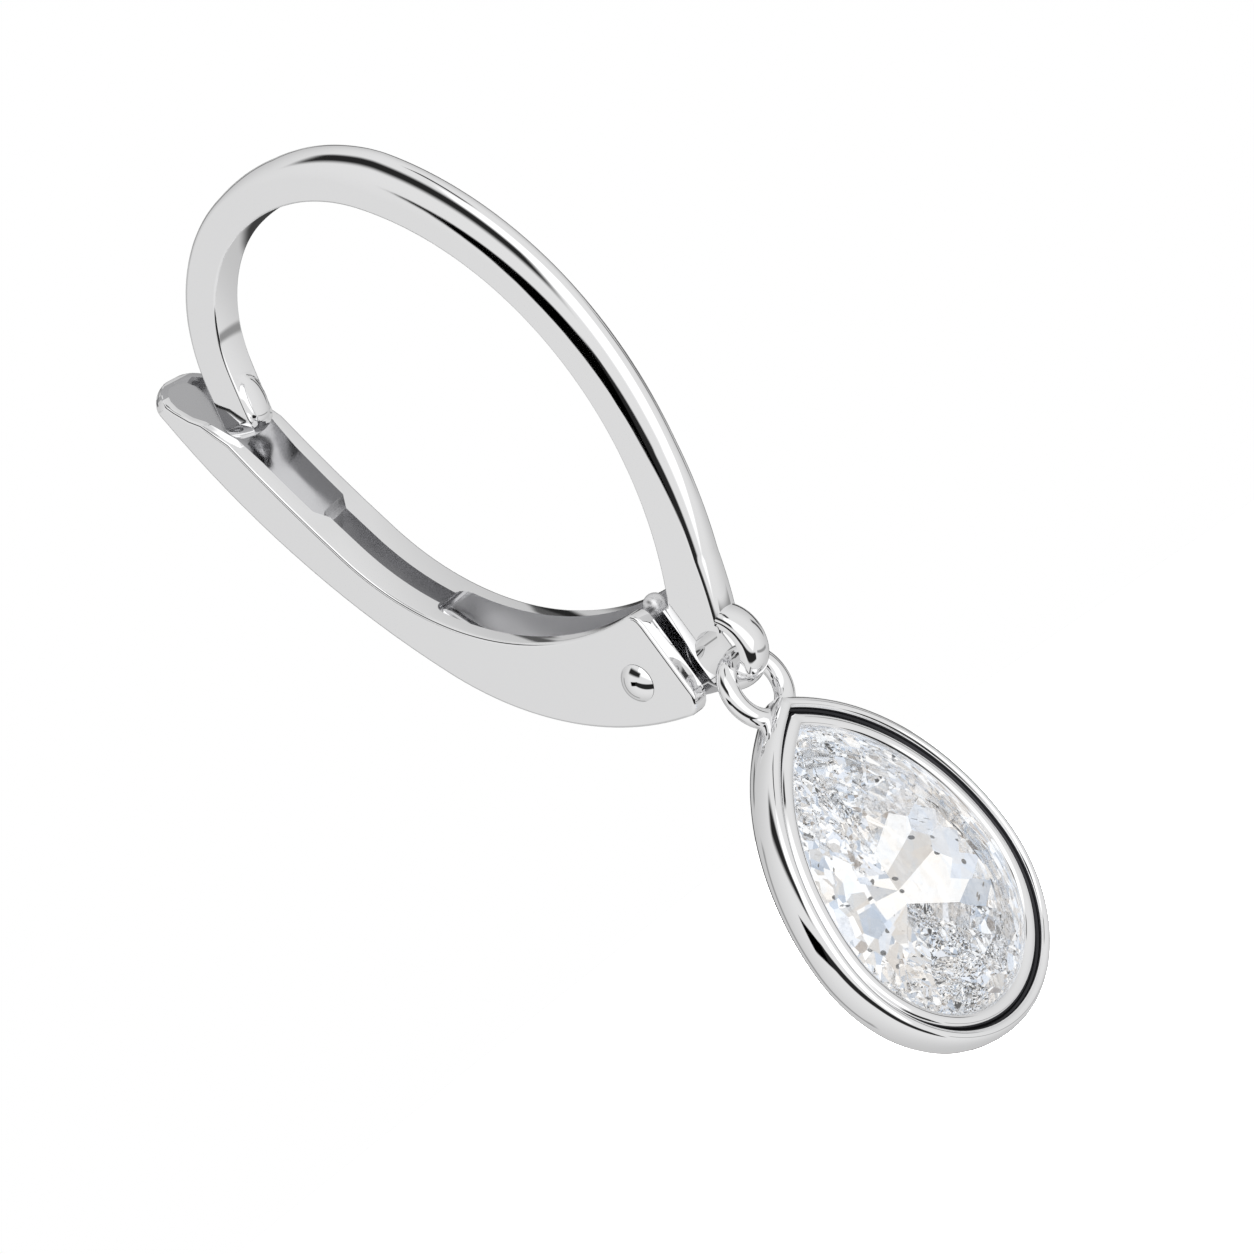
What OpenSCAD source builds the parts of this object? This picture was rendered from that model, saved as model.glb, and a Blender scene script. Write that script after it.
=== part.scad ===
// Leverback earring with a pear stone in a bezel drop.
// +X is the front of the earring, +Z is up as it is worn, and Y is across the wire.
// The origin is the seat for the ear lobe: the top of the hoop's inner face, midway across the wire.

/* [Hoop] */
// Width of the wire across the hoop
wire_w = 0.9; // [0.7:0.05:0.95]
// Radius of the hoop's inner face in front of the seat
crown_r = 5.3; // [4.8:0.1:5.8]
// Radius of the hoop's inner face down the front
front_r = 9.6; // [9.2:0.1:10]
// Radius of the hoop's inner face behind the seat
back_r = 3.6; // [3.3:0.1:3.9]
// Radius of the nearly straight tail behind the lobe
tail_r = 24; // [18:1:40]
// Height of the soft swelling on the tail's inner face
nail_h = 0.14; // [0:0.02:0.2]

/* [Hinge] */
// Hinge pin's distance in front of the seat
pin_x = 2.67; // [2.6:0.01:2.75]
// Hinge pin's distance below the seat
pin_drop = 15.05; // [14.9:0.05:15.2]
// Radius of the pin's shaft
pin_r = 0.35; // [0.3:0.01:0.38]
// Radius of the pin's domed heads
pin_head_r = 0.5; // [0.42:0.01:0.6]
// Height of the pin's domed heads
pin_head_h = 0.24; // [0.15:0.01:0.3]
// Width of the tang between the lever's walls
tang_w = 0.84; // [0.6:0.02:0.9]
// Radius of the small ball on top of the foot
ball_r = 0.29; // [0.2:0.01:0.32]

/* [Lever] */
// Width of the lever
lever_w = 2.15; // [2.05:0.05:2.25]
// Width of the lever's channel at the hinge
channel_w = 1.24; // [1.14:0.02:1.3]
// Width of the narrow slot at mid length
slot_w = 0.64; // [0.5:0.02:0.8]
// Width of the pocket that takes the tail
pocket_w = 1.24; // [1.14:0.02:1.3]
// Thickness of the lever's floor
floor_t = 0.3; // [0.26:0.02:0.34]

/* [Drop] */
// Radius of the loop's hole under the foot
loop_hole_r = 0.64; // [0.6:0.01:0.7]
// Width of the loop's metal round its hole
loop_t = 0.48; // [0.44:0.01:0.5]
// Radius of the drop's ring, to the middle of its wire
ring_r = 0.86; // [0.84:0.01:0.95]
// Radius of the ring's wire
ring_wire_r = 0.26; // [0.22:0.01:0.28]
// Length of the stone that shows
stone_l = 8; // [7.6:0.1:8.4]
// Width of the stone that shows
stone_w = 6.1; // [5.8:0.1:6.4]
// Width of the bezel's rim round the stone
rim_w = 0.82; // [0.7:0.02:0.9]
// Depth of the bezel behind the stone's face
bezel_d = 0.95; // [0.8:0.05:1.2]
// Depth of the stone below its girdle
pavilion_d = 2.4; // [2:0.1:3]

/* [Hidden] */
eps = 0.01;
run_gap = 0.03;
rivet_gap = 0.01;
hang_gap = 0.04;
through = 5;

pin = [pin_x, -pin_drop];
pin_bore_r = pin_r + run_gap;

// The hoop's inner face, from the seat: rows of radius and turn
front_rows = [[crown_r, -48], [front_r, -81]];
back_rows = [[back_r, 69], [tail_r, 4.3]];
tail_turn = 73.3;
tail_rows = [[tail_r, -4.3], [back_r, -69]];

// The wire's section by the heading along it: heading, depth of the flat side, whole depth
wire_depths = [
    [-129, 1.35, 1.52],
    [-120, 1.05, 1.34],
    [-105, 0.76, 1.32],
    [-80, 0.55, 1.42],
    [-50, 0.5, 1.45],
    [-20, 0.68, 1.15],
    [0, 0.85, 1.08],
    [50, 0.95, 1.2],
    [74, 1, 1.2]
];
path_step = 3.6;
dome_steps = 6;
edge_r = 0.07;
tip_round = 0.5;
nail_from = 0.25;
nail_to = 1.5;

// Points along arcs that follow one another: each is x, z and the heading there
function arc_at(p, h, r, t) = p + sign(t) * r * [sin(h + t) - sin(h), cos(h) - cos(h + t)];
function arc_points(p, h, row, n) = [
    for (i = [0:n - 1]) let (t = row[1] * i / n) concat(arc_at(p, h, row[0], t), [h + t])
];
function chain(p, h, rows, step, i = 0) =
    i == len(rows)
        ? [concat(p, [h])]
        : concat(
            arc_points(p, h, rows[i], max(1, ceil(abs(rows[i][1]) / step))),
            chain(arc_at(p, h, rows[i][0], rows[i][1]), h + rows[i][1], rows, step, i + 1)
        );
function last(v) = v[len(v) - 1];
function xz(v) = [for (p = v) [p[0], p[1]]];
function rows_end(p, h, rows) = xz([last(chain(p, h, rows, 90))])[0];

tail_end = rows_end([0, 0], 180, back_rows);
hoop_path = chain(tail_end, tail_turn, concat(tail_rows, front_rows), path_step);

// One section of the wire: across the wire, and out from the inner face
function wire_section(side, deep) = concat(
    [[-wire_w / 2 + edge_r, 0], [-wire_w / 2, edge_r]],
    [
        for (i = [0:dome_steps])
            let (a = 180 - 180 * i / dome_steps)
                [wire_w / 2 * cos(a), side + (deep - side) * sin(a)]
    ],
    [[wire_w / 2, edge_r], [wire_w / 2 - edge_r, 0]]
);
function tip_scale(e) = e >= tip_round ? 1 : sqrt(1 - pow(1 - e / tip_round, 2));
function nail_rise(e) =
    e <= nail_from || e >= nail_to ? 0 : nail_h * sin(180 * (e - nail_from) / (nail_to - nail_from));
function along(path, i) = i == 0 ? 0 : along(path, i - 1) + norm(xz([path[i]])[0] - xz([path[i - 1]])[0]);

// The first rings are added close together, so that the tip is round
function tip_rings(path, n) = [
    for (i = [0:n - 1])
        let (e = tip_round * (1 - cos(90 * (i + 0.35) / n)))
            [path[0][0] + e * cos(path[0][2]), path[0][1] + e * sin(path[0][2]), path[0][2], e]
];
function hoop_rings(path) = concat(
    tip_rings(path, 5),
    [
        for (i = [1:len(path) - 1])
            if (along(path, i) > tip_round) concat(path[i], [along(path, i)])
    ]
);
function ring_points(r) =
    let (
        side = lookup(r[2], [for (w = wire_depths) [w[0], w[1]]]),
        deep = lookup(r[2], [for (w = wire_depths) [w[0], w[2]]]),
        s = tip_scale(r[3]),
        out = [-sin(r[2]), cos(r[2])]
    ) [
        for (q = wire_section(side, deep))
            let (
                flat = 1 - abs(q[0]) / (wire_w / 2),
                n = q[1] > edge_r ? q[1] : q[1] - nail_rise(r[3]) * sqrt(flat),
                m = deep / 2 + s * (n - deep / 2)
            )
                [r[0] + out[0] * m, s * q[0], r[1] + out[1] * m]
    ];

// A closed skin over rings of equal count
module skin(rings) {
    k = len(rings[0]);
    n = len(rings);
    points = [for (r = rings) for (p = r) p];
    sides = [
        for (i = [0:n - 2], j = [0:k - 1])
            let (a = i * k + j, b = i * k + (j + 1) % k)
                each [[a, b, b + k], [a, b + k, a + k]]
    ];
    first = [for (j = [k - 1:-1:0]) j];
    end = [for (j = [0:k - 1]) (n - 1) * k + j];
    polyhedron(points, concat([first], sides, [end]));
}

// Places a flat outline in x and z, with its thickness across y
module plate(w) {
    rotate([90, 0, 0])
        linear_extrude(w, center = true)
            children();
}
module cross_bore(p, r, w) {
    translate([p[0], 0, p[1]])
        rotate([90, 0, 0])
            cylinder(r = r, h = w, center = true, $fn = 48);
}

// The foot, the tang and the loop, placed from the pin
foot_line = [[1.65, 1.05], [1.51, 0.3], [1.41, -0.5], [1.08, -1]];
foot_core = [[1.98, -1.1], [2.78, -0.1], [2.43, 0.9]];
tang_r = 0.72;
tang_top = [[1.6, 1.02], [0.9, 1.1], [-0.3, 0.65]];
tang_low = [[-0.3, -0.62], [1.25, -0.76]];
loop_c = pin + [2.14, -0.56];
loop_r = loop_hole_r + loop_t / 2;
loop_bore_r = loop_hole_r - 0.04;
ball_c = pin + [1.02, 1.3];

module foot() {
    plate(wire_w)
        translate(pin)
            polygon(concat(foot_line, foot_core));
    plate(tang_w)
        translate(pin)
            union() {
                circle(r = tang_r, $fn = 48);
                polygon(concat(tang_top, tang_low));
            }
    translate([ball_c[0], 0, ball_c[1]])
        sphere(r = ball_r, $fn = 32);
}

// The loop's section is an oval, so that the ring swings in it freely
module loop() {
    translate([loop_c[0], 0, loop_c[1]])
        rotate([90, 0, 0])
            rotate_extrude($fn = 64)
                translate([loop_r, 0])
                    polygon([for (a = [0:22.5:337.5]) [loop_t / 2 * cos(a), wire_w / 2 * sin(a)]]);
}

module ear_wire() {
    color([0.86, 0.86, 0.87])
        difference() {
            union() {
                skin([for (r = hoop_rings(hoop_path)) ring_points(r)]);
                foot();
                loop();
            }
            cross_bore(pin, pin_bore_r, through);
            cross_bore(loop_c, loop_bore_r, through);
        }
}

// The lever's outline, placed from the pin: the belly and back, then the rim from the tip to the hinge
belly_start = [0.82, -1.43];
belly_rows = [[9.35, -48], [25, -24]];
belly_heading = 168;
rim_start = [0.95, 1.45];
rim_heading = 176;
rim_rows = [[7.8, -70], [50, -5]];
lever_nose = [
    [1.13, 1.41], [1.24, 1.33], [1.3, 1.2], [1.32, 1.02],
    [1.32, -0.93], [1.3, -1.08], [1.22, -1.22], [1.11, -1.33], [0.97, -1.41]
];
tip_corner = [
    [-8.6, 13.35], [-8.62, 13.65], [-8.58, 13.78], [-8.48, 13.84], [-8.37, 13.74],
    [-8.22, 13.4], [-8, 12.95], [-7.72, 12.5], [-7.48, 12.2]
];
belly = xz(chain(belly_start, belly_heading, belly_rows, 3));
rim = xz(chain(rim_start, rim_heading, rim_rows, 3));
lever_outline = concat(belly, tip_corner, [for (i = [len(rim) - 1:-1:0]) rim[i]], lever_nose);

// The channel, placed from the pin: inside the floor, past the rim, in three stretches
function inside(v, thick) = [
    for (i = [0:len(v) - 1])
        let (
            a = v[max(0, i - 1)],
            b = v[min(len(v) - 1, i + 1)],
            d = (b - a) / norm(b - a)
        )
            v[i] + lookup(v[i][1], thick) * [d[1], -d[0]]
];
scoop_t = 0.15;
floor_end = [-8.49, 13.9];
channel_floor = concat(inside(belly, [[10, floor_t], [12.9, scoop_t]]), [floor_end]);
slot_low_z = 4.7;
slot_high_z = 8.3;
channel_mouth = [[-6.5, 13.9], [0, 13.9], [0, 6], [4, 3], [4, -1]];
floor_front = [-0.25, -2];
floor_open = 3;

// The lever's end seen from the front: a strip with round corners
end_r = 1;
end_z = 13.86;
end_arc = [for (a = [0:15:90]) [lever_w / 2 - end_r + end_r * cos(a), end_z - end_r + end_r * sin(a)]];
lever_plan = concat(
    [[lever_w / 2, -3]],
    end_arc,
    [for (i = [len(end_arc) - 1:-1:0]) [-end_arc[i][0], end_arc[i][1]]],
    [[-lever_w / 2, -3]]
);

// The pocket seen from the front: it widens towards the lever's tip, like a scoop
pocket_flare = 0.25;
pocket_side = [
    [slot_w / 2, slot_high_z - eps],
    [pocket_w / 2, slot_high_z + 0.3],
    [pocket_w / 2, 10.4],
    [pocket_w / 2 + pocket_flare / 3, 11.3],
    [pocket_w / 2 + pocket_flare, 12.7],
    [pocket_w / 2 + 0.8 * pocket_flare, 13.2],
    [pocket_w / 2, 13.5],
    [slot_w / 2, 13.68]
];
pocket_plan = concat(pocket_side, [for (i = [len(pocket_side) - 1:-1:0]) [-pocket_side[i][0], pocket_side[i][1]]]);

module channel(z_from, z_to, w) {
    plate(w)
        intersection() {
            polygon(concat(channel_floor, channel_mouth));
            translate([-12, z_from])
                square([20, z_to - z_from]);
        }
}

module pocket() {
    intersection() {
        plate(lever_w)
            polygon(concat(channel_floor, channel_mouth));
        rotate([90, 0, 90])
            linear_extrude(30, center = true)
                polygon(pocket_plan);
    }
}

module lever_blank() {
    intersection() {
        plate(lever_w)
            polygon(lever_outline);
        rotate([90, 0, 90])
            linear_extrude(30, center = true)
                polygon(lever_plan);
    }
}

module lever() {
    color([0.84, 0.84, 0.85])
        translate([pin[0], 0, pin[1]])
            difference() {
                lever_blank();
                channel(-3, slot_low_z, channel_w);
                channel(slot_low_z - eps, slot_high_z, slot_w);
                pocket();
                translate([floor_front[0], -channel_w / 2, floor_front[1]])
                    cube([floor_open, channel_w, floor_open]);
                cross_bore([0, 0], pin_r + rivet_gap, through);
            }
}

module hinge_pin() {
    dome_r = (pow(pin_head_r, 2) + pow(pin_head_h, 2)) / (2 * pin_head_h);
    face = lever_w / 2 + rivet_gap;
    color([0.9, 0.9, 0.9])
        translate([pin[0], 0, pin[1]])
            rotate([90, 0, 0]) {
                cylinder(r = pin_r, h = 2 * face, center = true, $fn = 48);
                for (side = [0, 1])
                    mirror([0, 0, side])
                        intersection() {
                            translate([0, 0, face + pin_head_h - dome_r])
                                sphere(r = dome_r, $fn = 64);
                            translate([0, 0, face])
                                cylinder(r = 2 * pin_head_r, h = pin_head_h + eps, $fn = 48);
                        }
            }
}

// The drop hangs from the middle of the ring's wire, which rests in the loop
hang = loop_c + [0, ring_wire_r + hang_gap - loop_hole_r];
ring_c = hang - [0, ring_r];
face_ahead = 0.5;
tip_below = 1.42;
face_x = ring_c[0] + face_ahead;
stone_r = stone_w / 2;
stone_tip_z = ring_c[1] - tip_below;
round_z = stone_tip_z - (stone_l - stone_r);
side_r = (pow(stone_l - stone_r, 2) + pow(stone_r, 2)) / (2 * stone_r);

// A pear outline that stands off from the stone's edge, as [y, z] at a turn from the tip:
// two side arcs meet at the tip and run into the round end
function pear(stand_off, u) =
    let (
        s = u > 0.5 ? -1 : 1,
        v = u > 0.5 ? 1 - u : u,
        tip_a = acos((side_r - stone_r) / (side_r + stand_off)),
        arc = (side_r + stand_off) * tip_a,
        bend = (stone_r + stand_off) * 90,
        d = 2 * v * (arc + bend)
    )
        d < arc
            ? let (a = tip_a - d / (side_r + stand_off))
                [s * ((side_r + stand_off) * cos(a) - (side_r - stone_r)),
                    round_z + (side_r + stand_off) * sin(a)]
            : let (a = (d - arc) / (stone_r + stand_off))
                [s * (stone_r + stand_off) * cos(a), round_z - (stone_r + stand_off) * sin(a)];
pear_steps = 56;

// The bezel's wall: how far each corner stands off the stone's edge, and how far in front of its face.
// A lip holds the stone, a groove is cut round it, and a rounded band lies outside the groove.
bezel_wall = [
    [0, -0.13],
    [0, -0.07],
    [0.08, 0],
    [0.35, 0.02],
    [0.42, -0.09],
    [0.49, 0.06],
    [0.61, 0.13],
    [rim_w - 0.1, 0.06],
    [rim_w - 0.02, -0.15],
    [rim_w, -0.4],
    [rim_w - 0.06, 0.2 - bezel_d],
    [rim_w - 0.24, -bezel_d],
    [-0.3, -bezel_d],
    [-0.3, 0.12 - bezel_d],
    [0.15, -0.34],
    [0.15, -0.14]
];

module bezel() {
    rings = [
        for (i = [0:pear_steps - 1])
            [
                for (w = bezel_wall)
                    let (p = pear(w[0], i / pear_steps)) [face_x + w[1], p[0], p[1]]
            ]
    ];
    color([0.88, 0.88, 0.89])
        union() {
            closed_skin(rings);
            translate([ring_c[0], 0, ring_c[1]])
                rotate([0, 90, 0])
                    rotate_extrude($fn = 64)
                        translate([ring_r, 0])
                            circle(r = ring_wire_r, $fn = 24);
        }
}

// A closed loop of rings
module closed_skin(rings) {
    k = len(rings[0]);
    n = len(rings);
    polyhedron(
        [for (r = rings) for (p = r) p],
        [
            for (i = [0:n - 1], j = [0:k - 1])
                let (
                    a = i * k + j,
                    b = i * k + (j + 1) % k,
                    c = ((i + 1) % n) * k + (j + 1) % k,
                    d = ((i + 1) % n) * k + j
                )
                    each [[a, b, c], [a, c, d]]
        ]
    );
}

// The stone: a table, stars, kites and halves above the girdle, mains and halves below it
mains = 12;
girdle_off = 0.1;
girdle_front = -0.2;
girdle_back = -0.29;
table_front = 0.2;
table_off = -1.2;
star_off = -0.5;
star_front = 0.05;
waist_off = -1.9;
waist_share = 0.72;
waist_back = girdle_back - waist_share * pavilion_d;
culet_lift = 0.4;

function stone_ring(off, front, n, shift) = [
    for (i = [0:n - 1])
        let (p = pear(off, (i + shift) / n)) [face_x + front, p[0], p[1]]
];

module stone() {
    m = mains;
    points = concat(
        stone_ring(table_off, table_front, m, 0),
        stone_ring(star_off, star_front, m, 0.5),
        stone_ring(girdle_off, girdle_front, 2 * m, 0),
        stone_ring(girdle_off, girdle_back, 2 * m, 0),
        stone_ring(waist_off, waist_back, m, 0.5),
        [[face_x + girdle_back - pavilion_d, 0, round_z + culet_lift]]
    );
    star = m;
    top = 2 * m;
    low = 4 * m;
    deep = 6 * m;
    culet = 7 * m;
    color([0.93, 0.95, 0.97])
        polyhedron(
            points,
            concat(
                [[for (i = [0:m - 1]) i]],
                [
                    for (i = [0:m - 1])
                        let (
                            j = (i + 1) % m,
                            h = (i + m - 1) % m,
                            g = 2 * i,
                            g1 = 2 * i + 1,
                            g2 = (2 * i + 2) % (2 * m)
                        )
                            each [
                                [i, star + i, j],
                                [i, top + g, star + i],
                                [i, star + h, top + g],
                                [star + i, top + g, top + g1],
                                [star + i, top + g1, top + g2],
                                [top + g, low + g1, top + g1],
                                [top + g, low + g, low + g1],
                                [top + g1, low + g2, top + g2],
                                [top + g1, low + g1, low + g2],
                                [low + g, deep + i, low + g1],
                                [low + g1, deep + i, low + g2],
                                [low + g, deep + h, deep + i],
                                [culet, deep + i, deep + h]
                            ]
                ]
            )
        );
}

ear_wire();
lever();
hinge_pin();
bezel();
stone();
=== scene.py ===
from math import acos, cos, degrees, pi, radians, sin, sqrt

import bpy
from mathutils import Matrix, Vector


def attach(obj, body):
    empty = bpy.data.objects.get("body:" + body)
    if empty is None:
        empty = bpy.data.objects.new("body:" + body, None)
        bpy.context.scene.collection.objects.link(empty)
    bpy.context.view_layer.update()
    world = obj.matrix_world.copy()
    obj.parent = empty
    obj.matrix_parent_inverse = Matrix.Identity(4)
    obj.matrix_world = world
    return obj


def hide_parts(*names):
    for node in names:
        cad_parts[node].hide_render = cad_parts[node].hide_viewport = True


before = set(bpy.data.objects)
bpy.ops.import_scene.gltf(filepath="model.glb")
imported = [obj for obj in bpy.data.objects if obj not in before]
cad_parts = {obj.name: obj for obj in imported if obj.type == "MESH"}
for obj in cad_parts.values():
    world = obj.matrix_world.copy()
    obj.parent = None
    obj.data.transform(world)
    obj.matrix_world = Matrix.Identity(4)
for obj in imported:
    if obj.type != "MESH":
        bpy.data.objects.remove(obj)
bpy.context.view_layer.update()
bpy.ops.object.select_all(action="DESELECT")
mm = 0.001

# The camera: a long lens that looks down on the open side of the hoop, as in the photograph.
# There the earring is tilted, and here it hangs, so the camera is turned with it about Y.
camera_right = Vector((0.5517, 0.588, -0.5917))
camera_up = Vector((0.4329, 0.4045, 0.8056))
camera_away = camera_right.cross(camera_up).normalized()
aim = Vector((2.45, 0, -13.77)) * mm
camera_distance = 85.6 * mm
bpy.ops.object.camera_add()
camera = bpy.context.object
camera.matrix_world = Matrix.Translation(aim + camera_away * camera_distance) @ Matrix(
    (camera_right, camera_up, camera_away)
).transposed().to_4x4()
camera.data.lens = 100
camera.data.sensor_width = 36
camera.data.clip_start = 5 * mm
bpy.context.scene.camera = camera


# The ear wire: one casting in polished white metal, a hooked wire with flat sides and a domed outside.
# Its inner face follows arcs from the seat for the ear lobe, and the section is carried along them.
wire_width = 0.9
edge_round = 0.06
front_arcs = [(5.3, 48), (9.6, 81)]
back_arcs = [(3.6, 69), (24, 4.3)]
headings = (-129, -120, -105, -80, -50, -20, 0, 50, 74)
side_depths = list(zip(headings, (1.35, 1.05, 0.76, 0.55, 0.5, 0.68, 0.85, 0.95, 1)))
whole_depths = list(zip(headings, (1.52, 1.34, 1.32, 1.42, 1.45, 1.15, 1.08, 1.2, 1.2)))
tip_round = 0.5
weld = 0.001 * mm
sharp = radians(40)


def deselect_all():
    if bpy.context.mode != "OBJECT":
        bpy.ops.object.mode_set(mode="OBJECT")
    bpy.ops.object.select_all(action="DESELECT")


def make_active(piece):
    deselect_all()
    piece.select_set(True)
    bpy.context.view_layer.objects.active = piece


def between(value, table):
    """The value in a table of (place, value) rows, run straight between its rows."""
    for low, high in zip(table, table[1:]):
        if value <= high[0]:
            break
    share = min(1, max(0, (value - low[0]) / (high[0] - low[0])))
    return low[1] + share * (high[1] - low[1])


def hoop_at(along):
    """Place and heading on the hoop's inner face, so far in front of the seat, or behind it if below 0."""
    x, z, turned, left = 0, 0, 0, abs(along)
    for radius, whole_turn in front_arcs if along > 0 else back_arcs:
        turn = min(left / radius, radians(whole_turn))
        x += radius * (sin(turned + turn) - sin(turned))
        z -= radius * (cos(turned) - cos(turned + turn))
        turned += turn
        left -= radius * turn
    side = 1 if along > 0 else -1
    return side * x, z, -side * turned


def wrapped_grid(name, rows, columns, place):
    """A grid rolled into a tube: its corners go where place(row, column) says, in millimetres."""
    deselect_all()
    bpy.ops.mesh.primitive_grid_add(x_subdivisions=columns, y_subdivisions=rows)
    tube = bpy.context.object
    tube.name = name
    for corner in tube.data.vertices:
        column = round((corner.co.x + 1) / 2 * columns) % columns
        row = round((corner.co.y + 1) / 2 * rows)
        corner.co = Vector(place(row, column)) * mm
    bpy.ops.object.mode_set(mode="EDIT")
    bpy.ops.mesh.select_all(action="SELECT")
    bpy.ops.mesh.remove_doubles(threshold=weld)
    bpy.ops.mesh.select_all(action="DESELECT")
    bpy.ops.mesh.select_mode(type="EDGE")
    bpy.ops.mesh.select_non_manifold()
    bpy.ops.mesh.fill_holes(sides=0)
    bpy.ops.mesh.select_all(action="SELECT")
    bpy.ops.mesh.normals_make_consistent(inside=False)
    bpy.ops.object.mode_set(mode="OBJECT")
    return tube


def plate(name, outline, width):
    """A flat plate with this outline in x and z and this width in y, in millimetres."""
    deselect_all()
    bpy.ops.mesh.primitive_circle_add(vertices=len(outline), radius=mm, fill_type="NGON")
    made = bpy.context.object
    made.name = name
    for corner, (x, z) in zip(made.data.vertices, outline):
        corner.co = Vector((x, -width / 2, z)) * mm
    bpy.ops.object.mode_set(mode="EDIT")
    bpy.ops.mesh.select_all(action="SELECT")
    bpy.ops.mesh.extrude_region_move(TRANSFORM_OT_translate={"value": (0, width * mm, 0)})
    bpy.ops.mesh.select_all(action="SELECT")
    bpy.ops.mesh.normals_make_consistent(inside=False)
    bpy.ops.object.mode_set(mode="OBJECT")
    return made


def turned(name, profile, centre, steps):
    """A profile of (radius, y) corners spun round a line across the wire at this x and z."""
    deselect_all()
    bpy.ops.mesh.primitive_circle_add(vertices=len(profile), radius=mm)
    made = bpy.context.object
    made.name = name
    for corner, (radius, y) in zip(made.data.vertices, profile):
        corner.co = Vector((centre[0] + radius, y, centre[1])) * mm
    bpy.ops.object.mode_set(mode="EDIT")
    bpy.ops.mesh.select_all(action="SELECT")
    middle = (centre[0] * mm, 0, centre[1] * mm)
    bpy.ops.mesh.spin(steps=steps, angle=2 * pi, center=middle, axis=(0, 1, 0))
    bpy.ops.mesh.select_all(action="SELECT")
    bpy.ops.mesh.remove_doubles(threshold=weld)
    bpy.ops.mesh.delete_loose()
    bpy.ops.mesh.select_all(action="SELECT")
    bpy.ops.mesh.normals_make_consistent(inside=False)
    bpy.ops.object.mode_set(mode="OBJECT")
    return made


def combine(piece, other, how):
    """Joins another solid to a piece, cuts it out of it or keeps what both share."""
    make_active(piece)
    modifier = piece.modifiers.new(how.title(), "BOOLEAN")
    modifier.operation = how
    modifier.solver = "EXACT"
    modifier.object = other
    bpy.ops.object.modifier_apply(modifier=modifier.name)
    make_active(other)
    bpy.ops.object.delete()


def round_where(piece, chosen, width, segments):
    """Rounds the sharp edges whose two ends together, in millimetres, pass a test."""
    make_active(piece)
    bpy.ops.object.mode_set(mode="EDIT")
    bpy.ops.mesh.select_mode(type="EDGE")
    bpy.ops.mesh.select_all(action="DESELECT")
    bpy.ops.mesh.edges_select_sharp(sharpness=sharp)
    bpy.ops.object.mode_set(mode="OBJECT")
    corners = piece.data.vertices
    for edge in piece.data.edges:
        start, end = [corners[i].co / mm for i in edge.vertices]
        edge.select = edge.select and chosen(start, end)
    bpy.ops.object.mode_set(mode="EDIT")
    bpy.ops.mesh.bevel(offset=width * mm, segments=segments, affect="EDGES")
    bpy.ops.object.mode_set(mode="OBJECT")


def smooth(piece, angle):
    """Smooth shading across edges below this angle, with flat faces joined up and kept flat."""
    make_active(piece)
    bpy.ops.object.mode_set(mode="EDIT")
    bpy.ops.mesh.select_all(action="SELECT")
    bpy.ops.mesh.dissolve_limited(angle_limit=radians(0.2))
    bpy.ops.object.mode_set(mode="OBJECT")
    bpy.ops.object.shade_smooth_by_angle(angle=radians(angle))
    modifier = piece.modifiers.new("Flat faces", "WEIGHTED_NORMAL")
    modifier.keep_sharp = True
    bpy.ops.object.modifier_apply(modifier=modifier.name)


tail_length = sum(radius * radians(turn) for radius, turn in back_arcs)
front_length = sum(radius * radians(turn) for radius, turn in front_arcs)
tip_rings = 9
first_ring = 0.3
tip_places = [tip_round * (1 - cos(radians(90 * (i + first_ring) / tip_rings))) for i in range(tip_rings)]
ring_step = 0.08
ring_places = [p - tail_length for p in tip_places]
body_length = front_length + tail_length - tip_round
ring_count = round(body_length / ring_step)
for ring in range(ring_count + 1):
    ring_places.append(tip_round - tail_length + ring * body_length / ring_count)

# The section: the flat inner face, a rounded corner, the dome and the other corner.
flat_steps = 18
corner_steps = 3
dome_steps = 18
flat_half = wire_width / 2 - edge_round
section = [(flat_half - (wire_width - 2 * edge_round) * i / flat_steps, 0) for i in range(flat_steps)]
for side in (-1, 1):
    around = [90 * i / corner_steps for i in range(corner_steps + 1)]
    for angle in around if side < 0 else around[::-1]:
        across = flat_half + edge_round * sin(radians(angle))
        section.append((side * across, edge_round - edge_round * cos(radians(angle))))
    if side < 0:
        section += [(wire_width / 2 * cos(pi - pi * i / dome_steps), None) for i in range(dome_steps + 1)]


def wire_corner(row, column):
    """A corner of the wire's skin, with its depth outwards taken from the two tables of depths."""
    x, z, heading = hoop_at(ring_places[row])
    from_tip = ring_places[row] + tail_length
    side = between(degrees(heading), side_depths)
    deep = between(degrees(heading), whole_depths)
    across, out = section[column]
    if out is None:
        out = side + (deep - side) * sqrt(max(0, 1 - (across / wire_width * 2) ** 2))
    shrink = sqrt(1 - (1 - from_tip / tip_round) ** 2) if from_tip < tip_round else 1
    out = deep / 2 + shrink * (out - deep / 2)
    return x - sin(heading) * out, shrink * across, z + cos(heading) * out


ear_wire = wrapped_grid("ear_wire_dressed", len(ring_places) - 1, len(section), wire_corner)

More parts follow.
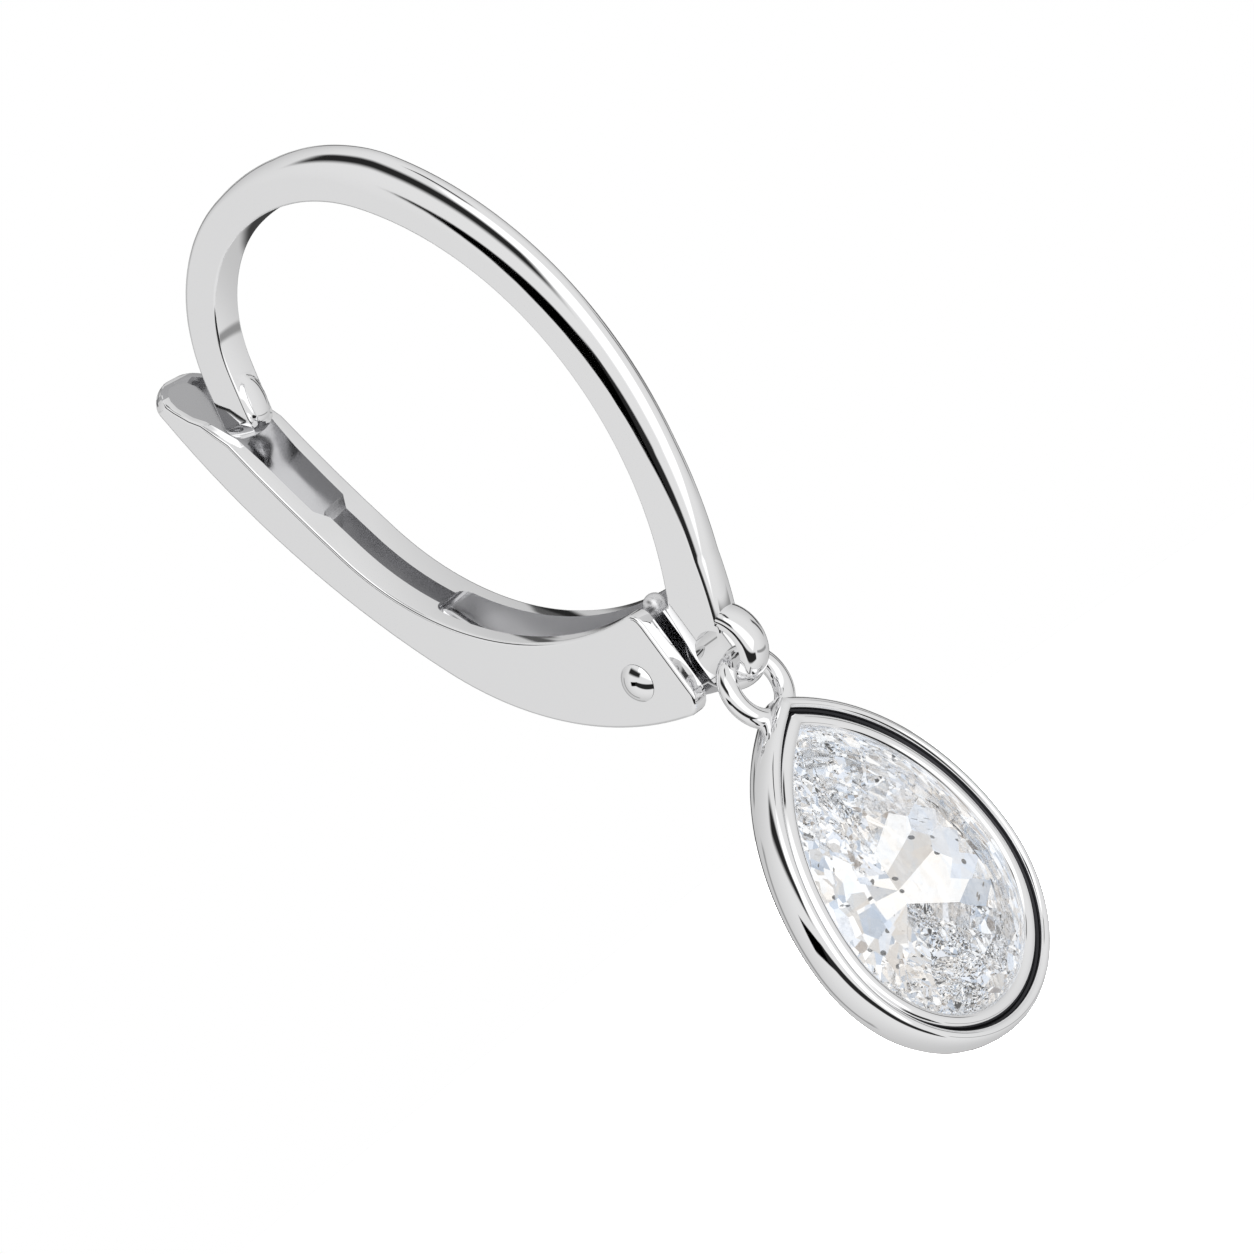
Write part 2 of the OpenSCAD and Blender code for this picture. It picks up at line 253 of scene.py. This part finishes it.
# The tail's inner face swells softly near its tip, so that it snaps into the lever's pocket.
swelling = 0.14
swelling_from_tip = 0.9
swelling_half_length = 0.66
swelling_half_width = 0.41
inner_side = 0.3
x, z, heading = hoop_at(-tail_length + swelling_from_tip)
for corner in ear_wire.data.vertices:
    run = (corner.co.x / mm - x) * cos(heading) + (corner.co.z / mm - z) * sin(heading)
    out = -(corner.co.x / mm - x) * sin(heading) + (corner.co.z / mm - z) * cos(heading)
    reach = (run / swelling_half_length) ** 2 + (corner.co.y / mm / swelling_half_width) ** 2
    if corner.co.x < -2 * mm and out < inner_side and reach < 1:
        rise = swelling * sqrt(1 - reach)
        corner.co += Vector((sin(heading), 0, -cos(heading))) * rise * mm

# The foot: a plate under the hoop's front end that carries the tang, a small ball and the loop.
# It is cast with the wire, and the loop's near side runs flush into its flat face.
pin = (2.67, -15.05)
foot_line = [(1.65, 1.05), (1.51, 0.3), (1.41, -0.5), (1.08, -1)]
foot_core = [(1.98, -1.1), (2.78, -0.1), (2.43, 0.9)]
foot_outline = foot_line + foot_core
foot_middle = (2, 0)
foot_edge = [(0.36, 0), (0.41, 0.02), (0.44, 0.05), (0.45, 0.09)]
foot_levels = [(-y, inset) for y, inset in foot_edge[::-1]] + foot_edge


def foot_corner(row, column):
    """A corner of the foot, drawn in towards its middle at the two flat sides."""
    x, z = foot_outline[column]
    y, inset = foot_levels[row]
    share = inset / sqrt((x - foot_middle[0]) ** 2 + (z - foot_middle[1]) ** 2)
    return pin[0] + x + share * (foot_middle[0] - x), y, pin[1] + z + share * (foot_middle[1] - z)


foot = wrapped_grid("foot", len(foot_levels) - 1, len(foot_outline), foot_corner)
tang_radius = 0.72
tang_width = 0.84
tang_arc = [(tang_radius * cos(radians(a)), tang_radius * sin(radians(a))) for a in range(95, 275, 9)]
tang_line = [(1.25, -0.76), (1.6, -0.2), (1.6, 1.02), (0.9, 1.1)]
tang = plate("tang", [(pin[0] + x, pin[1] + z) for x, z in tang_arc + tang_line], tang_width)
loop_middle = (pin[0] + 2.14, pin[1] - 0.56)
loop_hole = 0.64
loop_metal = 0.48
loop_flat = 0.2
loop_half_width = 0.443
loop_steps = 72
loop_arc_steps = 16
loop_section = []
for step in range(loop_arc_steps + 1):
    around = radians(-90 + 180 * step / loop_arc_steps)
    out = loop_hole + loop_flat + (loop_metal - loop_flat) * cos(around)
    loop_section.append((out, loop_half_width * sin(around)))
loop_section += [(loop_hole + 0.06, 0.435), (loop_hole + 0.01, 0.38), (loop_hole, 0.28)]
loop_section += [(loop_hole, -0.28), (loop_hole + 0.01, -0.38), (loop_hole + 0.06, -0.435)]
loop = turned("loop", loop_section, loop_middle, loop_steps)
ball_radius = 0.29
ball_middle = Vector((pin[0] + 1.02, 0, pin[1] + 1.3)) * mm
bpy.ops.mesh.primitive_uv_sphere_add(
    segments=48, ring_count=24, radius=ball_radius * mm, location=ball_middle,
)
ball = bpy.context.object
for solid in (foot, tang, loop, ball):
    combine(ear_wire, solid, "UNION")


def drill(name, radius, reach, centre, steps):
    """A round bit that reaches this far on both sides of the middle, in millimetres."""
    return turned(name, [(0, -reach), (radius, -reach), (radius, reach), (0, reach)], centre, steps)


pin_steps = 48
combine(ear_wire, drill("pin_bore", 0.38, 1, pin, pin_steps), "DIFFERENCE")
combine(ear_wire, drill("loop_bore", 0.6, 1, loop_middle, loop_steps), "DIFFERENCE")
smooth(ear_wire, 32)


def node_of(tree, kind, **settings):
    node = tree.nodes.new(kind)
    for name, value in settings.items():
        setattr(node, name, value)
    return node


def polished_metal(name, colour, low_rough, high_rough, wave):
    """A hand polish: a fine, uneven haze of rub marks, and faint waves of this height in millimetres."""
    material = bpy.data.materials.new(name)
    material.use_nodes = True
    tree = material.node_tree
    shader = tree.nodes["Principled BSDF"]
    place = node_of(tree, "ShaderNodeTexCoord")
    shader.inputs["Base Color"].default_value = (*colour, 1)
    shader.inputs["Metallic"].default_value = 1
    haze = node_of(tree, "ShaderNodeTexNoise")
    haze.inputs["Scale"].default_value = 900
    haze.inputs["Detail"].default_value = 4
    tree.links.new(place.outputs["Object"], haze.inputs["Vector"])
    rough = node_of(tree, "ShaderNodeMapRange")
    rough.inputs["From Min"].default_value = 0.3
    rough.inputs["From Max"].default_value = 0.7
    rough.inputs["To Min"].default_value = low_rough
    rough.inputs["To Max"].default_value = high_rough
    tree.links.new(haze.outputs["Fac"], rough.inputs["Value"])
    tree.links.new(rough.outputs["Result"], shader.inputs["Roughness"])
    waves = node_of(tree, "ShaderNodeTexNoise")
    waves.inputs["Scale"].default_value = 450
    waves.inputs["Detail"].default_value = 1
    tree.links.new(place.outputs["Object"], waves.inputs["Vector"])
    bump = node_of(tree, "ShaderNodeBump")
    bump.inputs["Strength"].default_value = 1
    bump.inputs["Distance"].default_value = wave * mm
    tree.links.new(waves.outputs["Fac"], bump.inputs["Height"])
    tree.links.new(bump.outputs["Normal"], shader.inputs["Normal"])
    return material


def give_finish(piece, *finishes):
    piece.data.materials.clear()
    for finish in finishes:
        piece.data.materials.append(finish)


# The wire is polished by hand all over, and the ball is left satin.
cast_metal = polished_metal("cast_metal", (0.93, 0.93, 0.935), 0.03, 0.07, 0.006)
satin_metal = polished_metal("satin_metal", (0.85, 0.85, 0.86), 0.28, 0.4, 0.004)
give_finish(ear_wire, cast_metal, satin_metal)
for face in ear_wire.data.polygons:
    if (face.center - ball_middle).length < (ball_radius + 0.01) * mm:
        face.material_index = 1
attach(ear_wire, "wire")
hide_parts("ear_wire")


# The lever: a cast channel of polished metal with two walls and a floor, riveted to the foot.
# The channel is wide at the hinge, narrow at mid length and wide again where it takes the tail.
lever_width = 2.15
floor_thick = 0.3
tip_starts = 12.4


def arc_line(start, heading, arcs, step):
    """Points along arcs of (radius, turn) that follow one another from a start and a heading."""
    points = [start]
    for radius, whole_turn in arcs:
        x, z = points[-1]
        count = round(abs(whole_turn) / step) + 1
        side = 1 if whole_turn > 0 else -1
        for i in range(1, count + 1):
            now = heading + whole_turn * i / count
            dx = sin(radians(now)) - sin(radians(heading))
            dz = cos(radians(heading)) - cos(radians(now))
            points.append((x + side * radius * dx, z + side * radius * dz))
        heading += whole_turn
    return points


def from_pin(points):
    """Places given from the pin's middle, in the earring's own frame."""
    return [(pin[0] + x, pin[1] + z) for x, z in points]


belly = arc_line((0.82, -1.43), 168, [(9.35, -48), (25, -24)], 1.5)
rim = arc_line((0.95, 1.45), 176, [(7.8, -70), (50, -5)], 1.5)
tip_corner = [(-8.6, 13.35), (-8.61, 13.62), (-8.57, 13.76), (-8.46, 13.85), (-8.37, 13.74), (-8.22, 13.4)]
tip_corner += [(-8, 12.95), (-7.72, 12.5), (-7.45, 12.2)]
nose = [(1.13, 1.41), (1.24, 1.33), (1.3, 1.2), (1.32, 1.02)]
nose += [(1.32, -0.93), (1.3, -1.08), (1.22, -1.22), (1.11, -1.33), (0.97, -1.41)]
lever = plate("lever_dressed", from_pin(belly + tip_corner + rim[::-1] + nose), lever_width)
round_where(lever, lambda a, b: a.y * b.y > 0 and max(a.z, b.z) < pin[1] + tip_starts, 0.1, 4)

# Seen from the front the lever ends in a half round.
end_round = 1.05
end_height = 13.86
strip_foot = -3
strip_half = lever_width / 2 + 0.05
end_steps = 12
strip = [(strip_half, strip_foot)]
for side in (1, -1):
    for step in range(end_steps + 1):
        turn = 90 * step / end_steps
        around = radians(turn if side > 0 else 90 - turn)
        y = side * (strip_half - end_round + end_round * cos(around))
        strip.append((y, end_height - end_round + end_round * sin(around)))
strip.append((-strip_half, strip_foot))
block_reach = 12


def front_block(name, outline):
    """A long block along x with this outline in y and z, placed from the pin, in millimetres."""
    deselect_all()
    bpy.ops.mesh.primitive_circle_add(vertices=len(outline), radius=mm, fill_type="NGON")
    block = bpy.context.object
    block.name = name
    for corner, (y, z) in zip(block.data.vertices, outline):
        corner.co = Vector((-block_reach, y, pin[1] + z)) * mm
    bpy.ops.object.mode_set(mode="EDIT")
    bpy.ops.mesh.select_all(action="SELECT")
    bpy.ops.mesh.extrude_region_move(TRANSFORM_OT_translate={"value": (2 * block_reach * mm, 0, 0)})
    bpy.ops.mesh.select_all(action="SELECT")
    bpy.ops.mesh.normals_make_consistent(inside=False)
    bpy.ops.object.mode_set(mode="OBJECT")
    return block


combine(lever, front_block("blank", strip), "INTERSECT")
round_where(lever, lambda a, b: min(a.z, b.z) > pin[1] + tip_starts, 0.035, 2)


def above_belly(thickness_at):
    """The belly moved into the metal, by a thickness that depends on the height above the pin."""
    moved = []
    for i, (x, z) in enumerate(belly):
        before, after = belly[max(0, i - 1)], belly[min(len(belly) - 1, i + 1)]
        run = Vector((after[0] - before[0], after[1] - before[1])).normalized()
        moved.append((x + thickness_at(z) * run.y, z - thickness_at(z) * run.x))
    return moved


channel_floor = above_belly(lambda z: floor_thick)
channel_mouth = [(-6.5, 13.3), (0, 13.3), (0, 6), (4, 3), (4, -1)]
hinge_width = 1.24
slot_width = 0.64
hinge_channel_end = 4.7
channels = [(-3, hinge_channel_end, hinge_width, 0.28), (4.4, 8.6, slot_width, 0)]
cut_reach = 0.0001 * mm
for low, high, width, corner_round in channels:
    cutter = plate("channel", from_pin(channel_floor + channel_mouth), width)
    bpy.ops.object.mode_set(mode="EDIT")
    for level, up in ((low, -1), (high, 1)):
        bpy.ops.mesh.select_all(action="SELECT")
        bpy.ops.mesh.bisect(
            plane_co=(0, 0, (pin[1] + level) * mm), plane_no=(0, 0, up), use_fill=True, clear_outer=True,
            threshold=cut_reach,
        )
    bpy.ops.object.mode_set(mode="OBJECT")
    if corner_round:
        end = pin[1] + high
        round_where(cutter, lambda a, b: max(abs(a.z - end), abs(b.z - end)) < 0.01, corner_round, 4)
    combine(lever, cutter, "DIFFERENCE")

# The pocket widens towards the tip and its floor thins, like a scoop.
scoop_thick = [(10, floor_thick), (12.9, 0.13)]
pocket_floor = above_belly(lambda z: between(z, scoop_thick)) + [(-8.49, 13.9)]
pocket_side = [(0.3, 8.2), (0.6, 8.6), (0.62, 10.4), (0.69, 11.2), (0.81, 12), (0.87, 12.6)]
pocket_side += [(0.86, 13), (0.8, 13.25), (0.67, 13.45), (0.45, 13.62), (0.15, 13.7)]
pocket = plate("pocket", from_pin(pocket_floor + [(-6.5, 13.9), (0, 13.9), (0, 6)]), 2)
pocket_plan = front_block("pocket_plan", pocket_side + [(-y, z) for y, z in pocket_side[::-1]])
combine(pocket, pocket_plan, "INTERSECT")
combine(lever, pocket, "DIFFERENCE")

# The floor is open under the hinge, so that the lever opens past the foot.
hinge_gap = plate("hinge_gap", from_pin([(-0.25, -2), (2.9, -2), (2.9, 1), (-0.25, 1)]), hinge_width)
combine(lever, hinge_gap, "DIFFERENCE")
combine(lever, drill("rivet_bore", 0.36, 2, pin, pin_steps), "DIFFERENCE")
smooth(lever, 32)


walls_end = 13.6
walls_out = 0.93
scoop_start = 11.8
scoop_end = 13.72
scoop_half_width = 0.8
hinge_walls_start = 1.4
hinge_walls_end = 4.6


def place_of(face):
    """How far a face lies from the lever's middle plane, and how far above the pin, in millimetres."""
    return abs(face.center.y) / mm, face.center.z / mm - pin[1]


def inside_channel(face):
    """True for the walls inside the channel and for the floor of its scooped end."""
    y, up = place_of(face)
    on_wall = abs(face.normal.y) > 0.3 and y < walls_out and up < walls_end
    in_scoop = face.normal.x > 0 and y < scoop_half_width and scoop_start < up < scoop_end
    return on_wall or in_scoop


def hinge_wall(face):
    """True for the wide channel's two walls above the pin."""
    y, up = place_of(face)
    return abs(face.normal.y) > 0.9 and y < 0.65 and hinge_walls_start < up < hinge_walls_end


# Inside the channel, on its walls and its scooped floor, the metal is a little rougher and a darker grey
# than the outside: painted shade for the recess.
# The wide channel's walls above the pin are satin.
channel_painted_shade = polished_metal("channel_painted_shade", (0.5, 0.5, 0.51), 0.1, 0.2, 0.006)
give_finish(lever, cast_metal, channel_painted_shade, satin_metal)
# Faces inside the channel get the painted shade, and the hinge walls get the satin finish.
for face in lever.data.polygons:
    if hinge_wall(face):
        face.material_index = 2
    elif inside_channel(face):
        face.material_index = 1
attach(lever, "lever")
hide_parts("lever")


# The hinge pin: a turned rivet of the same metal, with a domed head on each wall of the lever.
# It has the bezel's brighter polish.
shank_radius = 0.35
head_radius = 0.5
head_height = 0.24
head_steps = 12
head_face = lever_width / 2 + 0.01
dome_radius = (head_radius**2 + head_height**2) / (2 * head_height)
head = []
for step in range(1, head_steps + 1):
    reach = head_radius * sin(radians(90 * (head_steps - step) / head_steps))
    head.append((reach, head_face + head_height - dome_radius + sqrt(dome_radius**2 - reach**2)))
half = [(shank_radius, 0), (shank_radius, head_face), (head_radius, head_face)] + head
pin_profile = half + [(radius, -y) for radius, y in half[:0:-1]]
hinge_pin = turned("hinge_pin_dressed", pin_profile, pin, 64)
smooth(hinge_pin, 40)
bezel_metal = polished_metal("bezel_metal", (0.94, 0.94, 0.945), 0.02, 0.05, 0.004)
give_finish(hinge_pin, bezel_metal)
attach(hinge_pin, "lever")
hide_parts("hinge_pin")


# The bezel: a pear-shaped wall of polished metal bent round the stone, its rim pressed over the girdle.
# A groove is cut round the rim, and the ring that hangs in the loop is soldered on at the point.
stone_length = 8
stone_radius = 3.05
face_x = 5.31
ring_middle = (4.81, 0, -16.81)
stone_tip = -18.23
round_middle = stone_tip - (stone_length - stone_radius)
side_radius = ((stone_length - stone_radius) ** 2 + stone_radius**2) / (2 * stone_radius)


def pear(stand_off, turn):
    """A place so far outside the stone's edge, at a share of the way round, and its way out, in y and z."""
    side = -1 if turn > 0.5 else 1
    half_turn = 1 - turn if turn > 0.5 else turn
    long_radius = side_radius + stand_off
    short_radius = stone_radius + stand_off
    tip_angle = acos((side_radius - stone_radius) / long_radius)
    arc = long_radius * tip_angle
    bend = short_radius * pi / 2
    run = 2 * half_turn * (arc + bend)
    if run < arc:
        angle = tip_angle - run / long_radius
        y = long_radius * cos(angle) - (side_radius - stone_radius)
        return side * y, round_middle + long_radius * sin(angle), side * cos(angle), sin(angle)
    angle = (run - arc) / short_radius
    y = short_radius * cos(angle)
    return side * y, round_middle - short_radius * sin(angle), side * cos(angle), -sin(angle)


lip = [(0, -0.16), (0, -0.1), (0.03, -0.03), (0.09, 0.02), (0.17, 0.04), (0.25, 0.03), (0.32, -0.01)]
groove = [(0.36, -0.07), (0.41, -0.1), (0.46, -0.06)]
groove_sides = (0.35, 0.47)
groove_depths = (-0.1, 0.03)
band = [(0.47, 0.03), (0.5, 0.09), (0.55, 0.125), (0.61, 0.13), (0.67, 0.105), (0.72, 0.06)]
band += [(0.76, -0.01), (0.79, -0.1), (0.81, -0.2)]
wall = [(0.82, -0.35), (0.81, -0.55), (0.77, -0.75), (0.7, -0.88), (0.58, -0.95)]
inside = [(-0.22, -0.95), (-0.3, -0.91), (-0.3, -0.83), (0.15, -0.34), (0.15, -0.14)]
rim_profile = lip + groove + band + wall + inside
pear_steps = 160


def bezel_corner(row, column):
    """A corner of the bezel, with its profile carried round the pear."""
    y, z, _, _ = pear(rim_profile[column][0], row % pear_steps / pear_steps)
    return face_x + rim_profile[column][1], y, z


bezel = wrapped_grid("bezel_dressed", pear_steps, len(rim_profile), bezel_corner)
ring_radius = 0.86
ring_thick = 0.26
bpy.ops.mesh.primitive_torus_add(
    major_radius=ring_radius * mm, minor_radius=ring_thick * mm, major_segments=96, minor_segments=32,
    location=Vector(ring_middle) * mm, rotation=(0, pi / 2, 0),
)
combine(bezel, bpy.context.object, "UNION")
smooth(bezel, 40)


def off_edge(y, z):
    """How far outside the stone's edge a place lies."""
    if z < round_middle:
        return sqrt(y**2 + (z - round_middle) ** 2) - stone_radius
    return sqrt((abs(y) + side_radius - stone_radius) ** 2 + (z - round_middle) ** 2) - side_radius


# The groove round the bezel's rim is rougher, and its colour is near black: painted shade for the dark line
# the groove shows.
groove_painted_shade = polished_metal("groove_painted_shade", (0.05, 0.05, 0.055), 0.3, 0.45, 0.004)
give_finish(bezel, bezel_metal, groove_painted_shade)
for face in bezel.data.polygons:
    off = off_edge(face.center.y / mm, face.center.z / mm)
    out = face.center.x / mm - face_x
    if groove_sides[0] < off < groove_sides[1] and groove_depths[0] < out < groove_depths[1]:
        face.material_index = 1
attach(bezel, "drop")
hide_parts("bezel")


# The stone: a clear pear cut in many small facets, with a table, held by the bezel's rim.
# It starts as a pear prism, and each facet is a flat cut, above and below the girdle.
deselect_all()
outline_steps = 96
bpy.ops.mesh.primitive_circle_add(vertices=outline_steps, radius=mm, fill_type="NGON")
stone = bpy.context.object
stone.name = "stone_dressed"
girdle_off = 0.1
girdle_front = -0.2
girdle_back = -0.29
table_front = 0.2
prism_depth = 3.2
for i, corner in enumerate(stone.data.vertices):
    y, z, _, _ = pear(girdle_off, i / outline_steps)
    corner.co = Vector((face_x + table_front, y, z)) * mm
bpy.ops.object.mode_set(mode="EDIT")
bpy.ops.mesh.select_all(action="SELECT")
bpy.ops.mesh.extrude_region_move(TRANSFORM_OT_translate={"value": (-prism_depth * mm, 0, 0)})

# Each row: how many facets, the share of a step they are turned by, then where one crosses, as the
# stand off from the edge and the height from the face, and its slope in degrees.
facet_rows = [
    (16, 0, girdle_off, girdle_front, 25),
    (32, 0.5, girdle_off, girdle_front - 0.03, 33),
    (16, 0.5, -0.72, 0.12, 13),
    (30, 0, girdle_off, girdle_back, -46),
    (24, 0.5, -0.4, -0.79, -42.5),
    (20, 0, -0.9, -1.24, -39.5),
    (16, 0.5, -1.6, -1.8, -36),
]
for count, shift, off, front, slope in facet_rows:
    for i in range(count):
        y, z, out_y, out_z = pear(off, ((i + shift) / count) % 1)
        tilt = radians(abs(slope))
        side = 1 if slope > 0 else -1
        way = (side * cos(tilt), sin(tilt) * out_y, sin(tilt) * out_z)
        bpy.ops.mesh.select_all(action="SELECT")
        bpy.ops.mesh.bisect(
            plane_co=Vector((face_x + front, y, z)) * mm, plane_no=way, use_fill=True, clear_outer=True,
            threshold=cut_reach,
        )
bpy.ops.mesh.select_all(action="SELECT")
bpy.ops.mesh.remove_doubles(threshold=weld)
bpy.ops.mesh.normals_make_consistent(inside=False)
bpy.ops.object.mode_set(mode="OBJECT")

# The stone's finish: clear, with the light breaking of diamond, and cold and warm tints painted into its
# colour in small cells: painted fire in place of the diamond's dispersion.
clear = bpy.data.materials.new("clear_stone")
clear.use_nodes = True
stone_tree = clear.node_tree
shader = stone_tree.nodes["Principled BSDF"]
shader.inputs["Roughness"].default_value = 0
shader.inputs["IOR"].default_value = 2.42
shader.inputs["Transmission Weight"].default_value = 1
place = node_of(stone_tree, "ShaderNodeTexCoord")
cells = node_of(stone_tree, "ShaderNodeTexVoronoi")
cells.inputs["Scale"].default_value = 1400
painted_fire_tints = node_of(stone_tree, "ShaderNodeValToRGB")
painted_fire_tints.color_ramp.elements[0].color = (0.86, 0.93, 1, 1)
painted_fire_tints.color_ramp.elements[1].color = (1, 0.93, 0.84, 1)
middle = painted_fire_tints.color_ramp.elements.new(0.5)
middle.color = (1, 1, 1, 1)
stone_tree.links.new(place.outputs["Object"], cells.inputs["Vector"])
stone_tree.links.new(cells.outputs["Color"], painted_fire_tints.inputs["Fac"])
stone_tree.links.new(painted_fire_tints.outputs["Color"], shader.inputs["Base Color"])
give_finish(stone, clear)
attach(stone, "drop")
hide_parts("stone")


# The floor: a plain white board well below the drop, as the earring hangs.
# A lamp lights it alone, so that the board is as pale as the backdrop.
board_size = 900 * mm
board_height = -45 * mm
bpy.ops.mesh.primitive_plane_add(size=board_size, location=(0, 0, board_height))
floor = bpy.context.object
floor.name = "floor"
floor.visible_glossy = False
floor.visible_transmission = False
board = bpy.data.materials.new("white_board")
board.use_nodes = True
board_shader = board.node_tree.nodes["Principled BSDF"]
board_shader.inputs["Base Color"].default_value = (0.93, 0.93, 0.93, 1)
board_shader.inputs["Roughness"].default_value = 0.9
give_finish(floor, board)
bpy.ops.object.light_add(type="AREA", location=(0, 0, 300 * mm))
lamp = bpy.context.object
lamp.data.size = 500 * mm
lamp.data.energy = 14
lamp.visible_glossy = False
lamp.visible_transmission = False


# The light: a pale tent with one large bright window just above the camera, and dark cards hung in it.
# The cards give the polished metal its black lines.
world = bpy.context.scene.world or bpy.data.worlds.new("tent")
bpy.context.scene.world = world
world.use_nodes = True
tree = world.node_tree
tree.nodes.clear()
way = node_of(tree, "ShaderNodeTexCoord").outputs["Generated"]


def math_node(operation, first, second):
    """One sum on the light's values, each a number or another node's outcome."""
    node = node_of(tree, "ShaderNodeMath", operation=operation)
    for socket, value in zip(node.inputs, (first, second)):
        if isinstance(value, (int, float)):
            socket.default_value = value
        else:
            tree.links.new(value, socket)
    return node.outputs["Value"]


def along(axis):
    """How far the way looked at goes along an axis."""
    node = node_of(tree, "ShaderNodeVectorMath", operation="DOT_PRODUCT")
    node.inputs[1].default_value = axis
    tree.links.new(way, node.inputs[0])
    return node.outputs["Value"]


def ramp(value, low, high, at_low, at_high):
    """A soft step between two levels."""
    node = node_of(tree, "ShaderNodeMapRange", interpolation_type="SMOOTHSTEP")
    node.inputs["From Min"].default_value = low
    node.inputs["From Max"].default_value = high
    node.inputs["To Min"].default_value = at_low
    node.inputs["To Max"].default_value = at_high
    tree.links.new(value, node.inputs["Value"])
    return node.outputs["Result"]


def card(light, across, up, half_width, half_height, tilt, level, blur):
    """Hangs a card of this brightness in the tent and gives back the light with it.

    Across and up are angles from the way to the camera, and tilt turns the card, all in degrees.
    The half sizes and the blurred edge are for a card hung at a distance of one.
    """
    a, e, t = radians(across), radians(up), radians(tilt)
    middle = camera_right * sin(a) * cos(e) + camera_up * sin(e) + camera_away * cos(a) * cos(e)
    level_way = (camera_right * cos(a) - camera_away * sin(a)).normalized()
    upright = middle.cross(level_way).normalized() * -1
    if upright.dot(camera_up) < 0:
        upright = upright * -1
    long_way = level_way * cos(t) + upright * sin(t)
    short_way = upright * cos(t) - level_way * sin(t)
    facing = along(middle)
    ahead = math_node("MAXIMUM", facing, 0.01)
    x = math_node("ABSOLUTE", math_node("DIVIDE", along(long_way), ahead), 0)
    y = math_node("ABSOLUTE", math_node("DIVIDE", along(short_way), ahead), 0)
    cover = math_node(
        "MULTIPLY",
        ramp(x, half_width - blur, half_width + blur, 1, 0),
        ramp(y, half_height - blur, half_height + blur, 1, 0),
    )
    cover = math_node("MULTIPLY", cover, ramp(facing, 0, 0.1, 0, 1))
    rest = math_node("MULTIPLY", light, math_node("SUBTRACT", 1, cover))
    return math_node("ADD", rest, math_node("MULTIPLY", cover, level))


light = ramp(along(camera_away), -1, 0.4, 0.56, 0.8)
light = card(light, 8, 14, 1.1, 0.42, -24, 1.25, 0.12)
light = card(light, 180, 0, 0.42, 0.3, 0, 0.05, 0.12)
light = card(light, 165, 32, 0.45, 0.13, 20, 0.02, 0.04)
light = card(light, -64, -28, 0.27, 0.14, -8, 0, 0.02)
light = card(light, 4, -45, 1.2, 0.22, 0, 0.02, 0.05)
light = card(light, -57, 14, 0.55, 0.2, -16, 0.02, 0.1)
light = card(light, -128, -32, 0.6, 0.06, 70, 0.3, 0.05)
light = card(light, 118, 30, 0.3, 0.07, -60, 0.05, 0.05)
light = card(light, -34, 56, 0.16, 0.08, -40, 0.05, 0.03)
light = card(light, 95, -8, 0.5, 0.05, 20, 0.3, 0.03)
light = card(light, -150, 25, 0.5, 0.06, -50, 0.1, 0.03)
tent = node_of(tree, "ShaderNodeBackground")
tree.links.new(light, tent.inputs["Strength"])
tent.inputs["Color"].default_value = (1, 1, 1, 1)
backdrop = node_of(tree, "ShaderNodeBackground")
backdrop.inputs["Color"].default_value = (1, 1, 1, 1)

# What the stone gathers from all round: the same tent with pale blue and warm grey patches.
# Small black specks lie on most of them.
patches = node_of(tree, "ShaderNodeTexVoronoi")
patches.inputs["Scale"].default_value = 5
tree.links.new(way, patches.inputs["Vector"])
tones = node_of(tree, "ShaderNodeValToRGB")
tones.color_ramp.interpolation = "CONSTANT"
tones.color_ramp.elements[0].color = (0.36, 0.31, 0.27, 1)
tones.color_ramp.elements[1].position = 0.1
tones.color_ramp.elements[1].color = (0.5, 0.58, 0.7, 1)
paler_tones = [(0.24, (0.72, 0.7, 0.68, 1)), (0.42, (0.84, 0.9, 1, 1)), (0.6, (1.15, 1.15, 1.15, 1))]
for position, colour in paler_tones:
    tone = tones.color_ramp.elements.new(position)
    tone.color = colour
split = node_of(tree, "ShaderNodeSeparateColor")
tree.links.new(patches.outputs["Color"], split.inputs["Color"])
tree.links.new(split.outputs["Red"], tones.inputs["Fac"])
specks = node_of(tree, "ShaderNodeTexVoronoi")
specks.inputs["Scale"].default_value = 200
tree.links.new(way, specks.inputs["Vector"])
sparkle = node_of(tree, "ShaderNodeBackground")
tree.links.new(tones.outputs["Color"], sparkle.inputs["Color"])
fleck = ramp(specks.outputs["Distance"], 0.16, 0.2, 0, 1)
plain = ramp(split.outputs["Green"], 0.7, 0.71, 0, 1)
tree.links.new(math_node("MAXIMUM", fleck, plain), sparkle.inputs["Strength"])


def mixed(first, second, share):
    """Shows the second light to the share of rays that this socket picks, and the first to the rest."""
    node = node_of(tree, "ShaderNodeMixShader")
    tree.links.new(share, node.inputs["Fac"])
    tree.links.new(first, node.inputs[1])
    tree.links.new(second, node.inputs[2])
    return node.outputs["Shader"]


path = node_of(tree, "ShaderNodeLightPath").outputs
shown = mixed(tent.outputs["Background"], sparkle.outputs["Background"], path["Is Transmission Ray"])
shown = mixed(shown, backdrop.outputs["Background"], path["Is Camera Ray"])
out = node_of(tree, "ShaderNodeOutputWorld")
tree.links.new(shown, out.inputs["Surface"])

bpy.context.scene.view_settings.view_transform = "Standard"

# Light that hasn't left the stone after this many turns stays there, which leaves small dark flecks.
turns_inside = 30
bpy.context.scene.cycles.max_bounces = turns_inside
bpy.context.scene.cycles.transmission_bounces = turns_inside
bpy.context.scene.cycles.glossy_bounces = turns_inside
